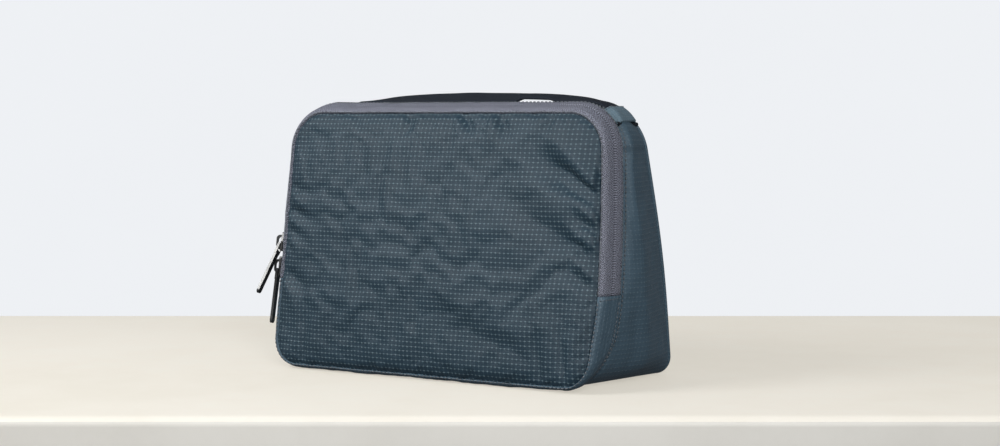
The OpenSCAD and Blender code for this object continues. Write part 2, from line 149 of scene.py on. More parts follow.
def band_ring(inset, depth):
    """A whole ring in the front band, as (n, 3): inset from the outline, depth behind the front."""
    foot = max(0.0, FRONT_FOOT * inset / FRONT_SEAM)
    widening = FOOT_SPREAD * min(depth / BAND_DEPTH, 1.0) ** 2
    o = loop(half_outline(inset, foot, FOOT_R - 1.1 * max(0.0, inset) + widening, CORNER_R - inset))
    o = tucked(o)
    return np.stack([o[:, 0], front_y(o[:, 1]) + depth, o[:, 1]], 1)


def rear_ring(inset, depth=0.0, foot=0.0):
    o = loop(half_outline(REAR_INSET + inset, foot, REAR_FOOT_R, CORNER_R - REAR_INSET - inset))
    return np.stack([o[:, 0], rear_y(o[:, 1]) - depth, o[:, 1]], 1)


def arc_length(points):
    step = np.linalg.norm(np.diff(points, axis=0), axis=1)
    return np.concatenate([[0], np.cumsum(step)])


def grid_uv(along, across):
    return np.stack(np.meshgrid(along, across, indexing="ij"), 2)


def add_to_scene(obj):
    bpy.context.scene.collection.objects.link(obj)
    return obj


LOOP_Z = band_ring(0, ZIP_DEPTH)[:, 2]


def lifted(ring, rise):
    """A ring whose lower part, over the base, is raised a little."""
    return ring + [0, 0, rise] * (LOOP_Z < 30)[:, None]


# ---- meshes ----
def mesh_object(name, points, faces, uv):
    """An object from points and a UV per point, both in millimetres, and faces as index lists."""
    mesh = bpy.data.meshes.new(name)
    mesh.from_pydata((np.asarray(points) * MM).tolist(), [], [list(map(int, f)) for f in faces])
    layer = mesh.uv_layers.new(name="UVMap")
    corners = np.zeros(len(mesh.loops), np.int32)
    mesh.loops.foreach_get("vertex_index", corners)
    layer.data.foreach_set("uv", (np.asarray(uv)[corners] * MM).astype(np.float32).ravel())
    mesh.validate()
    mesh.update()
    mesh.shade_smooth()
    return add_to_scene(bpy.data.objects.new(name, mesh))


def grid_faces(n, m, closed_n=False, closed_m=False):
    rows = n if closed_n else n - 1
    cols = m if closed_m else m - 1
    i, k = np.meshgrid(np.arange(rows), np.arange(cols), indexing="ij")
    i, k = i.ravel(), k.ravel()
    j, l = (i + 1) % n, (k + 1) % m
    return np.stack([i * m + k, j * m + k, j * m + l, i * m + l], 1)


def grid_object(name, points, uv=None, closed_n=False, closed_m=False, flip=False):
    """An object from an (n, m, 3) grid of points. UVs follow the grid's own lengths if not given."""
    n, m = points.shape[:2]
    if uv is None:
        uv = grid_uv(arc_length(points[:, m // 2]), arc_length(points[n // 2]))
    faces = grid_faces(n, m, closed_n, closed_m)
    if flip:
        faces = faces[:, ::-1]
    return mesh_object(name, points.reshape(-1, 3), faces, uv.reshape(-1, 2))


def apply_modifiers(obj):
    graph = bpy.context.evaluated_depsgraph_get()
    graph.update()
    mesh = bpy.data.meshes.new_from_object(obj.evaluated_get(graph), depsgraph=graph)
    obj.modifiers.clear()
    obj.data = mesh
    mesh.shade_smooth()
    return obj


def thicken(obj, thickness, levels=0):
    """Gives a surface its cloth's thickness, on its inner side, and smooths it first."""
    if levels:
        smooth = obj.modifiers.new("smooth", "SUBSURF")
        smooth.levels = smooth.render_levels = levels
    solid = obj.modifiers.new("solid", "SOLIDIFY")
    solid.thickness = thickness * MM
    solid.offset = -1
    return apply_modifiers(obj)


def join(name, objects):
    bpy.ops.object.select_all(action="DESELECT")
    for o in objects:
        o.select_set(True)
    bpy.context.view_layer.objects.active = objects[0]
    bpy.ops.object.join()
    objects[0].name = name
    return objects[0]


# ---- materials ----
def set_range(node, low, high, out_low, out_high):
    """Sets a Map Range node to a smooth step from low to high."""
    node.interpolation_type = "SMOOTHSTEP"
    for key, number in (("From Min", low), ("From Max", high), ("To Min", out_low), ("To Max", out_high)):
        node.inputs[key].default_value = number


class Nodes:
    """A material's node tree, with short ways to add nodes and sums."""

    def __init__(self, name):
        self.material = bpy.data.materials.new(name)
        self.material.use_nodes = True
        self.tree = self.material.node_tree
        self.shader = self.tree.nodes["Principled BSDF"]

    def add(self, kind, **values):
        node = self.tree.nodes.new(kind)
        for key, value in values.items():
            node.inputs[key].default_value = value
        return node

    def link(self, source, target):
        self.tree.links.new(source, target)

    def math(self, operation, a, b=0.0, c=0.0):
        node = self.tree.nodes.new("ShaderNodeMath")
        node.operation = operation
        for socket, value in zip(node.inputs, (a, b, c)):
            if isinstance(value, (int, float)):
                socket.default_value = value
            else:
                self.link(value, socket)
        return node.outputs[0]

    def plus(self, a, b):
        return self.math("ADD", a, b)

    def times(self, a, b):
        return self.math("MULTIPLY", a, b)

    def cycle(self, turns, operation="COSINE"):
        """A wave with one cycle for each whole number."""
        return self.math(operation, self.times(turns, 2 * math.pi))

    def smooth(self, value, low, high, out_low=0.0, out_high=1.0):
        node = self.tree.nodes.new("ShaderNodeMapRange")
        self.link(value, node.inputs["Value"])
        set_range(node, low, high, out_low, out_high)
        return node.outputs[0]

    def mix(self, factor, a, b):
        node = self.tree.nodes.new("ShaderNodeMix")
        node.data_type = "RGBA"
        self.link(factor, node.inputs["Factor"])
        for key, colour in (("A", a), ("B", b)):
            socket = next(s for s in node.inputs if s.name == key and s.type == "RGBA")
            if isinstance(colour, tuple):
                socket.default_value = (*colour, 1)
            else:
                self.link(colour, socket)
        return next(s for s in node.outputs if s.type == "RGBA")

    def place(self, object_space=False):
        coordinates = self.tree.nodes.new("ShaderNodeTexCoord")
        return coordinates.outputs["Object" if object_space else "UV"]

    def noise(self, scale, detail=3.0, where=None, roughness=0.55):
        node = self.add("ShaderNodeTexNoise", Scale=scale, Detail=detail, Roughness=roughness)
        self.link(where or self.place(), node.inputs["Vector"])
        return node.outputs["Fac"]

    def bump(self, height, distance, strength):
        node = self.add("ShaderNodeBump", Distance=distance, Strength=strength)
        self.link(height, node.inputs["Height"])
        self.link(node.outputs["Normal"], self.shader.inputs["Normal"])

    def set(self, **values):
        for key, value in values.items():
            socket = self.shader.inputs[key.replace("_", " ")]
            if isinstance(value, (int, float, tuple)):
                socket.default_value = (*value, 1) if isinstance(value, tuple) else value
            else:
                self.link(value, socket)


def cells(n, period_u, period_v):
    """Places in a grid over the UVs, in cells: from the middle of each cell, and from the start."""
    split = n.tree.nodes.new("ShaderNodeSeparateXYZ")
    n.link(n.place(), split.inputs[0])
    u = n.times(split.outputs["X"], 1 / (period_u * MM))
    v = n.times(split.outputs["Y"], 1 / (period_v * MM))
    centred = [n.math("SUBTRACT", n.math("FRACT", a), 0.5) for a in (u, v)]
    return centred, (u, v)


GRID, WEAVE = 2.95, 0.42         # spacing of the ripstop's grid and of its threads


def ripstop(name, ground, dot, gloss=0.42):
    """Light plain-weave nylon with a raised grid: faint lines and a bright float where they cross."""
    n = Nodes(name)
    (fu, fv), _ = cells(n, GRID, GRID)
    au, av = n.math("ABSOLUTE", fu), n.math("ABSOLUTE", fv)
    grain = n.noise(1500.0, 3.0, roughness=0.65)
    patch = n.noise(34.0, 3.0)
    reach = n.plus(n.times(au, 0.85), n.times(av, 1.25))
    reach = n.math("MULTIPLY_ADD", n.math("SUBTRACT", grain, 0.5), 0.16, reach)
    float_mask = n.smooth(reach, 0.13, 0.31, 1.0, 0.0)
    line_u = n.smooth(au, 0.04, 0.16, 1.0, 0.0)
    line_v = n.smooth(av, 0.04, 0.16, 1.0, 0.0)
    lines = n.math("MAXIMUM", n.times(line_u, 0.6), line_v)
    (wu, wv), _ = cells(n, WEAVE, WEAVE)
    weave = n.times(n.cycle(wu), n.cycle(wv))
    mask = n.math("MAXIMUM", float_mask, n.times(lines, 0.14))
    mask = n.times(mask, n.smooth(grain, 0.25, 0.6, 0.45, 1.0))
    cloth = n.mix(n.smooth(patch, 0.3, 0.7), tuple(0.82 * c for c in ground), ground)
    cloth = n.mix(n.smooth(grain, 0.3, 0.7, 0.0, 0.5), cloth, tuple(1.7 * c for c in ground))
    rough = n.math("SUBTRACT", n.math("MULTIPLY_ADD", grain, 0.14, gloss), n.times(float_mask, 0.18))
    n.set(Base_Color=n.mix(mask, cloth, dot), Roughness=rough, Sheen_Weight=0.05, Sheen_Roughness=0.35,
          Sheen_Tint=(0.7, 0.85, 1.0), Specular_IOR_Level=0.38)
    raised = n.math("MAXIMUM", float_mask, n.times(lines, 0.45))
    height = n.plus(raised, n.plus(n.times(weave, 0.14), n.times(grain, 0.5)))
    n.bump(height, 0.00022, 0.8)
    return n.material


def zip_tape(name):
    """Woven polyester tape. V runs from the slit: painted shade along the slit edge, ribs over the coil,
    then chevrons.
    """
    n = Nodes(name)
    (fu, fv), (u, v) = cells(n, 1.5, 2.6)
    chevron = n.cycle(n.plus(u, n.times(n.math("ABSOLUTE", fv), 2.0)), "SINE")
    rib = n.cycle(fu)
    over_coil = n.smooth(v, 1.15, 1.45, 1.0, 0.0)
    speckle = n.noise(1250.0, 2.0, roughness=0.75)
    chevron = n.times(chevron, n.math("SUBTRACT", 1.0, over_coil))
    rib = n.times(rib, over_coil)
    light = n.plus(n.plus(n.times(chevron, 0.10), n.times(rib, 0.17)), speckle)
    # painted shade: the tape is darkened near the slit, where the gap between the two tapes lies in shade
    light = n.math("SUBTRACT", light, n.smooth(v, 0.10, 0.34, 0.80, 0.0))
    colour = n.mix(n.smooth(light, 0.30, 0.72), (0.034, 0.036, 0.050), (0.290, 0.300, 0.360))
    n.set(Base_Color=colour, Roughness=n.math("MULTIPLY_ADD", speckle, 0.2, 0.55),
          Specular_IOR_Level=0.3)
    n.bump(light, 0.00045, 0.9)
    return n.material


def ribbed(name, dark, light, rib_u, rib_v, rough=0.6, depth=0.00015):
    """Webbing, grosgrain or elastic: ribs across its width crossed by finer ends along it."""
    n = Nodes(name)
    (fu, fv), _ = cells(n, rib_u, rib_v)
    grain = n.noise(2400.0, 2.0, roughness=0.7)
    height = n.plus(n.times(n.times(n.cycle(fu), n.cycle(fv)), 0.5), n.times(grain, 0.5))
    n.set(Base_Color=n.mix(n.smooth(height, 0.0, 0.6), dark, light), Roughness=rough,
          Specular_IOR_Level=0.25)
    n.bump(height, depth, 0.9)
    return n.material


def lining_cloth(name):
    """Fine twill."""
    n = Nodes(name)
    _, (u, v) = cells(n, 0.5, 0.5)
    twill = n.cycle(n.plus(u, v), "SINE")
    grain = n.noise(1500.0, 3.0)
    patch = n.noise(40.0, 2.0)
    tone = n.plus(n.times(twill, 0.18), n.times(n.plus(grain, patch), 0.5))
    n.set(Base_Color=n.mix(n.smooth(tone, 0.2, 0.8), (0.060, 0.072, 0.086), (0.115, 0.130, 0.148)),
          Roughness=n.math("MULTIPLY_ADD", grain, 0.15, 0.40), Sheen_Weight=0.1)
    n.bump(tone, 0.00006, 0.6)
    return n.material


def plain(name, dark, light, rough, scale, depth, metallic=0.0):
    """A material whose colour, gloss and surface vary with two noises."""
    n = Nodes(name)
    where = n.place(True)
    fine = n.noise(scale, 4.0, where)
    broad = n.noise(scale / 9, 3.0, where)
    tone = n.plus(n.times(fine, 0.6), n.times(broad, 0.4))
    n.set(Base_Color=n.mix(n.smooth(tone, 0.35, 0.65), dark, light),
          Roughness=n.math("MULTIPLY_ADD", fine, 0.16, rough - 0.08), Metallic=metallic)
    n.bump(fine, depth, 0.5)
    return n.material


MATERIALS = {
    "outer_cloth": ripstop("outer_cloth", (0.012, 0.029, 0.044), (0.130, 0.190, 0.215)),
    # the corner patch: the outer ripstop painted lighter, painted light where the corner faces up into
    # the light
    "patch_cloth_painted_lighter": ripstop("patch_cloth_painted_lighter", (0.110, 0.165, 0.200), (0.180, 0.240, 0.275)),
    # the side, top, base, gusset and rear seam cloth: the outer ripstop painted lighter, a painted sheen,
    # not a different dye
    "side_cloth_painted_lighter": ripstop("side_cloth_painted_lighter", (0.055, 0.092, 0.122), (0.115, 0.165, 0.198)),
    "zip_tape": zip_tape("zip_tape"),
    "webbing": ribbed("webbing", (0.004, 0.006, 0.010), (0.016, 0.022, 0.034), 1.6, 0.8, rough=0.75),
    "binding": ribbed("binding", (0.010, 0.013, 0.018), (0.030, 0.037, 0.046), 0.9, 0.9),
    "elastic": ribbed("elastic", (0.012, 0.014, 0.018), (0.038, 0.043, 0.050), 1.4, 0.5, depth=0.0003),
    "lining": lining_cloth("lining"),
    "mesh": plain("mesh", (0.010, 0.013, 0.017), (0.028, 0.033, 0.040), 0.55, 1500.0, 0.00004),
    "thread": plain("thread", (0.070, 0.080, 0.092), (0.150, 0.165, 0.180), 0.5, 3000.0, 0.00005),
    "zip_coil": plain("zip_coil", (0.008, 0.008, 0.011), (0.018, 0.018, 0.023), 0.45, 1200.0, 0.00003),
    "gunmetal": plain("gunmetal", (0.075, 0.075, 0.074), (0.145, 0.144, 0.140), 0.34, 900.0, 0.00003,
                      metallic=0.9),
    "label": plain("label", (0.72, 0.71, 0.68), (0.82, 0.81, 0.78), 0.45, 1800.0, 0.00004),
    "foam": plain("foam", (0.66, 0.66, 0.62), (0.78, 0.78, 0.74), 0.9, 1400.0, 0.0002),
    "board": plain("board", (0.62, 0.61, 0.58), (0.72, 0.71, 0.68), 0.6, 500.0, 0.00005),
}


def wear(obj, look):
    obj.data.materials.clear()
    obj.data.materials.append(MATERIALS[look])


def finish_piece(obj, look, body, replaces=()):
    """Gives a piece its material, and ties it to its body, or bakes its transform where it lies across
    the fold.
    """
    wear(obj, look)
    if body == "fold":
        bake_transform(obj)
    else:
        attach(obj, body)
    if replaces:
        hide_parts(*replaces)


# ---- the front and rear panels ----
def coons(outline, n, m):
    """An (n, m, 2) grid inside a rounded outline, whose corners are the middles of its arcs."""
    foot = STEPS["base"] + STEPS["foot"] // 2
    corner = I_CORNER + STEPS["corner"] // 2
    count = len(outline)

    def part(first, last, steps):
        index = np.arange(first, last + 1) % count
        points = outline[index]
        s = arc_length(points)
        return np.stack([np.interp(np.linspace(0, s[-1], steps), s, points[:, k]) for k in (0, 1)], 1)

    right = part(foot, corner, m)
    top = part(corner, count - corner, n)[::-1]
    left = part(count - corner, count - foot, m)[::-1]
    bottom = part(count - foot, count + foot, n)
    u = np.linspace(0, 1, n)[:, None, None]
    v = np.linspace(0, 1, m)[None, :, None]
    ruled = (1 - v) * bottom[:, None] + v * top[:, None] + (1 - u) * left[None] + u * right[None]
    corners = ((1 - u) * (1 - v) * bottom[0] + u * (1 - v) * bottom[-1]
               + (1 - u) * v * top[0] + u * v * top[-1])
    return ruled - corners


def nearest(points, outline):
    """For each point, its distance from an outline, and where that is along the outline."""
    flat = points.reshape(-1, 2)
    along = arc_length(outline)
    distance, where = np.empty(len(flat)), np.empty(len(flat))
    batch = 2000
    for first in range(0, len(flat), batch):
        some = slice(first, first + batch)
        gap = np.linalg.norm(flat[some, None] - outline[None], axis=2)
        best = gap.argmin(1)
        distance[some] = gap[np.arange(len(best)), best]
        where[some] = along[best]
    return distance.reshape(points.shape[:-1]), where.reshape(points.shape[:-1])


def crease(x, z, start, end, widths, depth, lip=0.45):
    """A valley that deepens from start to end, of two end widths, with a lip on its upper side."""
    a, b = np.array(start), np.array(end)
    run = b - a
    length = np.linalg.norm(run)
    along = ((x - a[0]) * run[0] + (z - a[1]) * run[1]) / length
    off = (-(x - a[0]) * run[1] + (z - a[1]) * run[0]) / length
    t = along / length
    width = widths[0] + (widths[1] - widths[0]) * np.clip(t, 0, 1)
    fade = ease((t + 0.1) / 0.8) * ease((1.35 - t) / 0.3)
    valley = -np.exp(-(off / width) ** 2)
    ridge = lip * np.exp(-((off - 1.7 * width) / (1.1 * width)) ** 2)
    return depth * fade * (valley + ridge)


CREASING = 1.5                   # how sharply every crease below is drawn
# Creases of the front panel, as start, end, widths and depth.
FRONT_CREASES = [
    ((66, 149), (121, 115), (11, 3.0), 5.0),
    ((92, 111), (121, 98), (7, 2.2), 2.2),
    ((84, 96), (119, 82), (8, 2.4), 2.2),
    ((92, 78), (118, 65), (7, 2.0), 2.0),
    ((-21, 156), (-24, 173), (4.5, 2.0), 2.0),
    ((30, 154), (15, 173), (5.0, 1.8), 2.4),
    ((53, 150), (44, 173), (6.0, 2.0), 2.6),
    ((76, 152), (84, 171), (5.0, 2.0), 1.4),
    ((-60, 158), (-66, 173), (4.5, 2.0), 1.1),
    ((-88, 116), (-119, 122), (6.0, 2.0), 1.8),
    ((-84, 99), (-119, 106), (7.0, 2.0), 2.0),
    ((-92, 89), (-119, 92), (6.0, 1.8), 1.7),
    ((-90, 52), (-120, 66), (8.0, 2.2), 2.0),
    ((30, 134), (104, 88), (13, 8), 1.5),
    ((-70, 66), (60, 26), (15, 9), 0.8),
    ((97, 58), (102, 9), (7.0, 2.2), 1.3),
    ((82, 46), (86, 7), (7.0, 2.2), 1.0),
    ((-90, 46), (-96, 8), (7.0, 2.2), 0.9),
]
REAR_CREASES = [
    ((-118, 120), (-84, 112), (2.0, 6.0), 1.3),
    ((117, 92), (82, 84), (2.0, 6.0), 1.2),
    ((-30, 174), (-24, 158), (2.0, 4.0), 1.2),
    ((40, 174), (44, 156), (2.0, 4.0), 1.3),
    ((-100, 8), (-70, 40), (2.5, 8.0), 1.2),
    ((104, 8), (78, 44), (2.5, 8.0), 1.0),
]


def panel_height(x, z, distance, where, bulge, creases, seed):
    """How far a padded panel stands out from its flat plane, in millimetres."""
    half_w, mid_z = BODY_W / 2 - 8, BODY_H / 2
    across = 1 - np.abs(x / half_w) ** 3.0
    up = 1 - np.abs((z - mid_z) / (mid_z - 4)) ** 3.0
    height = bulge * np.clip(across, 0, 1) * np.clip(up, 0, 1) ** 0.8
    height = height - 2.0 + 3.1 * (1 - np.exp(-distance / 2.6))
    for start, end, widths, depth in creases:
        height = height + CREASING * crease(x, z, start, end, widths, depth) * ease(distance / 3.5)
    pucker = waves(where, 0 * where, 8.5, seed) + 0.5 * waves(where, distance, 5.0, seed + 1)
    height = height + 0.34 * pucker * np.exp(-(distance / 9) ** 1.3) * ease(distance / 3)
    height = height + 0.45 * waves(x, z, 55, seed + 2) * ease(distance / 14)
    height = height + 0.10 * waves(x, z, 16, seed + 3) * ease(distance / 8)
    return np.maximum(height, -0.1 - 1.9 * (1 - ease(distance / 3.5)))


def settle(obj, hold, frames=24, excess=0.012):
    """Cloth simulation of a sewn-in panel a little larger than its seams, loosely held elsewhere."""
    group = obj.vertex_groups.new(name="hold")
    for index, weight in enumerate(hold):
        group.add([index], float(weight), "REPLACE")
    cloth = obj.modifiers.new("cloth", "CLOTH")
    values = cloth.settings
    values.quality = 6
    values.mass = 0.1
    values.tension_stiffness = 30
    values.compression_stiffness = 30
    values.shear_stiffness = 12
    values.bending_stiffness = 0.35
    values.vertex_group_mass = "hold"
    values.pin_stiffness = 0.5
    values.shrink_min = -excess
    values.effector_weights.gravity = 0
    cloth.collision_settings.use_collision = False
    cloth.point_cache.frame_end = frames
    for number in range(1, frames + 1):
        bpy.context.scene.frame_set(number)
    apply_modifiers(obj)
    obj.vertex_groups.clear()
    bpy.context.scene.frame_set(1)


def vectors(items, key):
    """One vector of each vertex or face of a mesh, as (n, 3)."""
    values = np.empty(len(items) * 3)
    items.foreach_get(key, values)
    return values.reshape(-1, 3)


def keep_in(obj, low, high):
    """Holds a piece's points between two depths behind the front plane."""
    p = vectors(obj.data.vertices, "co")
    plane = front_y(p[:, 2] / MM) * MM
    p[:, 1] = plane + np.clip(p[:, 1] - plane, low * MM, high * MM)
    obj.data.vertices.foreach_set("co", p.ravel())
    obj.data.update()


SEAM_IN, REAR_SEAM_IN = 0.4, 0.9     # from each panel's seam to the edge of its cloth


def front_cloth():
    """The padded front, in one piece with the flap."""
    outline = tucked(loop(half_outline(FRONT_SEAM + SEAM_IN, FRONT_FOOT, FOOT_R - 1.1 * FRONT_SEAM,
                                       CORNER_R - FRONT_SEAM - SEAM_IN)))
    flat = coons(outline, 126, 92)
    x, z = flat[..., 0], flat[..., 1]
    distance, where = nearest(flat, outline)
    height = panel_height(x, z, distance, where, 6.8, FRONT_CREASES, SEED)
    points = np.stack([x, front_y(z) - height, z], 2)
    obj = grid_object("front_cloth", points, uv=flat, flip=True)
    sewn, loose = 1.0, 0.10
    settle(obj, np.where(distance < 0.7, sewn, loose).ravel())
    keep_in(obj, -9.5, 2.4)
    thicken(obj, PANEL_T, levels=1)
    finish_piece(obj, "outer_cloth", "fold", ("front_panel_upper", "front_panel_lower"))


def rear_cloth():
    """The padded rear, with creases but no simulation."""
    inset = REAR_INSET + REAR_SEAM_IN
    outline = loop(half_outline(inset, 1.2, REAR_FOOT_R, CORNER_R - inset))
    flat = coons(outline, 96, 70)
    x, z = flat[..., 0], flat[..., 1]
    distance, where = nearest(flat, outline)
    height = panel_height(x, z, distance, where, 5.0, REAR_CREASES, SEED + 20)
    points = np.stack([x, rear_y(z) + height, z], 2)
    obj = grid_object("rear_cloth", points, uv=flat)
    thicken(obj, PANEL_T, levels=1)
    finish_piece(obj, "outer_cloth", "shell", ("rear_panel",))


# ---- strips round the front band ----
def smooth_line(points, steps):
    """A Catmull-Rom curve through points, with a number of steps between each pair."""
    p = np.asarray(points, float)
    p = np.concatenate([[2 * p[0] - p[1]], p, [2 * p[-1] - p[-2]]])
    out = []
    for a, b, c, d in zip(p[:-3], p[1:-2], p[2:-1], p[3:]):
        for t in np.arange(steps) / steps:
            out.append(0.5 * (2 * b + (c - a) * t + (2 * a - 5 * b + 4 * c - d) * t * t
                              + (3 * b - a - 3 * c + d) * t ** 3))
    return np.array(out + [p[-2]])


def outward():
    """Unit vectors out of the bag, in the plane of the outline, at each station."""
    out = band_ring(2.0, ZIP_DEPTH) - band_ring(3.0, ZIP_DEPTH)
    out[:, 1] = 0
    return out / np.linalg.norm(out, axis=1)[:, None]


OUTWARD = outward()
# Profiles across the band, as [inset, depth], from the front seam or the slit towards the back.
LID_PROFILE = [(7.0, 2.6), (6.6, 1.4), (6.0, 0.35), (5.1, -0.2), (4.0, 0.3), (2.8, 1.4), (1.9, 3.1),
               (1.2, 5.1), (0.7, 6.7), (0.75, 7.45), (1.4, 7.75), (2.8, 7.6)]
BODY_PROFILE = [(2.8, 8.6), (1.3, 8.55), (0.5, 8.75), (0.15, 9.5), (-0.5, 11.4), (-0.95, 13.4),
                (-1.0, 15.2), (-0.7, 16.3), (0.4, 17.0), (2.6, 17.2)]
GUSSET_PROFILE = [(7.0, 2.6), (6.6, 1.4), (6.0, 0.35), (5.1, -0.15), (3.9, 0.6), (2.6, 2.0), (1.4, 4.8),
                  (0.5, 8.2), (-0.4, 11.6), (-1.0, 15.0), (-0.7, 16.3), (0.4, 17.0), (2.6, 17.2)]


def band(name, stations, profile, wobble, seed, from_end=False):
    """A strip round the front band, with a profile of [inset, depth] at every station. Its UVs
    run across from the profile's first point, or from its last."""
    line = smooth_line(profile, 3)
    at = stations % N_LOOP
    rows = np.stack([band_ring(i, d)[at] for i, d in line], 1)
    run = arc_length(rows[:, 0])
    across = arc_length(rows[len(rows) // 2])
    shift = wobble * (waves(run, 0 * run, 26, seed)[:, None]
                      + 0.5 * waves(run[:, None], across[None, :] * 2, 9, seed + 1))
    middle = np.sin(np.linspace(0, math.pi, len(line)))[None, :]
    rows = rows + OUTWARD[at][:, None, :] * (shift * middle)[..., None]
    if from_end:
        across = across[-1] - across
    return grid_object(name, rows, uv=grid_uv(run, across))


def face_out(obj, centre=(0.0, 5.0, 88.0)):
    """Turns a piece's faces so that most of them look away from a point inside the bag."""
    faces = obj.data.polygons
    away = vectors(faces, "center") - np.array(centre) * MM
    if (vectors(faces, "normal") * away).sum() < 0:
        obj.data.flip_normals()
    return obj


def zip_bands():
    lid = face_out(band("lid_tape", OVER, LID_PROFILE, 0.2, SEED + 30, from_end=True))
    body = face_out(band("body_tape", OVER, BODY_PROFILE, 0.2, SEED + 32))
    for obj in (lid, body):
        thicken(obj, TAPE_T)
    finish_piece(lid, "zip_tape", "fold", ("lid_zip_tape",))
    finish_piece(body, "zip_tape", "shell", ("body_zip_tape",))
    gusset = face_out(band("gusset_cloth", UNDER, GUSSET_PROFILE, 0.3, SEED + 34))
    thicken(gusset, SIDE_T)
    finish_piece(gusset, "side_cloth_painted_lighter", "shell", ("lower_gusset",))


def tube(name, path, radius, sides, squash=(1.0, 1.0), closed=False):
    """A tube along a path, of an elliptical section."""
    path = np.asarray(path, float)
    ahead = np.roll(path, -1, 0) - np.roll(path, 1, 0)
    if not closed:
        ahead[0], ahead[-1] = path[1] - path[0], path[-1] - path[-2]
    ahead /= np.linalg.norm(ahead, axis=1)[:, None]
    side = np.cross(ahead, [0.0, 1.0, 0.0])
    side /= np.maximum(np.linalg.norm(side, axis=1), 1e-6)[:, None]
    up = np.cross(side, ahead)
    turn = np.linspace(0, 2 * math.pi, sides, endpoint=False)
    ring = (np.cos(turn)[None, :, None] * side[:, None] * squash[0]
            + np.sin(turn)[None, :, None] * up[:, None] * squash[1]) * radius
    points = path[:, None] + ring
    uv = grid_uv(arc_length(path), turn * radius)
    return grid_object(name, points, uv=uv, closed_n=closed, closed_m=True)


def between(s, run, values):
    """Values of (n, 3) at lengths s, where run is the length at each row."""
    return np.stack([np.interp(s, run, values[:, k]) for k in range(3)], -1)


def zip_coil(name, side, body, node):
    """A row of coil teeth, as one long helix inside a tape."""
    centre = band_ring(2.2, ZIP_DEPTH + side * 1.5)[OVER]
    run = arc_length(centre)
    pitch, per_turn = 1.6, 8
    half_high, half_wide = 0.55, 1.15
    s = np.arange(0, run[-1], pitch / per_turn)
    turn = 2 * math.pi * s / pitch
    line = between(s, run, centre) + between(s, run, OUTWARD[OVER]) * (half_high * np.cos(turn))[:, None]
    line[:, 1] += half_wide * np.sin(turn)
    finish_piece(tube(name, line, 0.3, sides=4), "zip_coil", body, (node,))


def zip_coils():
    zip_coil("lid_coil", -1, "fold", "lid_zip_coil")
    zip_coil("body_coil", 1, "shell", "body_zip_coil")


def stitches(name, path, out, pitch, length, width=0.6, body="shell"):
    """A row of thread stitches along a path. Each is a short round bead whose ends dip in."""
    run = arc_length(path)
    sides = 6
    starts = np.arange(0.6 * pitch, run[-1] - pitch, pitch)
    turn = np.linspace(0, 2 * math.pi, sides, endpoint=False)
    along = np.array([-0.5, -0.36, 0.0, 0.36, 0.5]) * length
    size = np.array([0.35, 0.9, 1.0, 0.9, 0.35]) * width / 2
    rise = np.array([-0.25, 0.02, 0.12, 0.02, -0.25])
    points, faces, uv = [], [], []
    for start in starts:
        first = len(points)
        for a, r, up in zip(along, size, rise):
            at = between(start + a, run, path)
            o = between(start, run, out)
            across = np.cross(between(start + a + 0.5, run, path) - at, o)
            across /= np.linalg.norm(across)
            for t in turn:
                points.append(at + o * (up + r * math.sin(t)) + across * r * math.cos(t))
                uv.append((start + a, t))
        for i in range(len(along) - 1):
            for k in range(sides):
                a, b = first + i * sides + k, first + i * sides + (k + 1) % sides
                faces.append((a, b, b + sides, a + sides))
        faces.append([first + k for k in range(sides - 1, -1, -1)])
        faces.append([first + (len(along) - 1) * sides + k for k in range(sides)])
    finish_piece(mesh_object(name, points, faces, uv), "thread", body)


def seam_stitches():
    """Stitching beside both seams of the band, on the side cloth, and at the gusset's two ends."""
    front = np.array([0.0, -1.0, 0.0])
    slope = OUTWARD * 0.45 + front * 0.9
    around = np.concatenate([UNDER[:-1], OVER])
    rows = [("flap_stitches", 5.2, -0.35, OVER, slope, "fold"),
            ("foot_stitches", 5.2, -0.35, UNDER, slope, "shell"),
            ("tape_stitches", -1.1, 14.6, OVER, OUTWARD, "shell"),
            ("gusset_stitches", -1.1, 14.6, UNDER, OUTWARD, "shell"),
            ("side_stitches", -0.55, 20.2, around, OUTWARD, "shell")]
    for name, inset, depth, stations, out, body in rows:
        at = stations % N_LOOP
        stitches(name, band_ring(inset, depth)[at], out[at], pitch=2.8, length=2.0, width=0.8, body=body)
    line = smooth_line(GUSSET_PROFILE[3:-2], 3)
    for name, station in (("end_stitches_right", I_FOLD - 1), ("end_stitches_left", N_LOOP - I_FOLD + 1)):
        path = np.array([band_ring(i, d)[station] for i, d in line])
        out = np.gradient(path, axis=0)
        out = np.stack([-out[:, 1], out[:, 0], 0 * out[:, 0]], 1)
        out /= np.linalg.norm(out, axis=1)[:, None]
        out *= np.sign((out[:, 0] * OUTWARD[station, 0]).sum())
        stitches(name, path + out * 0.25, out, pitch=2.0, length=1.4)


# ---- the shell behind the band ----
def shell_rows(stations, count, dip=2.2, lift=None):
    """Rows of points from the body seam to the rear seam, with UVs that run straight round the bag.
    lift(t, s, rows) is how far they stand out, and dip how deep they are drawn in at the seams."""
    at = stations % N_LOOP
    front = band_ring(0.0, BAND_DEPTH + 1.0)[at]
    back = rear_ring(0.0)[at]
    t = 0.5 - 0.5 * np.cos(np.linspace(0, math.pi, count))
    rows = front[:, None] + (back - front)[:, None] * t[None, :, None]
    s = arc_length(front)
    depth = np.linalg.norm(back - front, axis=1)
    away = np.minimum(t[None], 1 - t[None]) * depth[:, None]
    out = -dip * np.where(t[None] < 0.5, np.exp(-away / 1.1), 0.3 * np.exp(-away / 0.8))
    if lift is not None:
        out = out + lift(t[None, :], s[:, None], rows) * ease(away / 6)
    rows = rows + OUTWARD[at][:, None, :] * out[..., None]
    side = (at - I_FOOT) * (at - I_CORNER) * (at - N_LOOP + I_FOOT) * (at - N_LOOP + I_CORNER) <= 0
    along = np.where(side[:, None], rows[..., 2], s[:, None])
    uv = np.stack([rows[..., 1], along], 2)
    return rows, uv


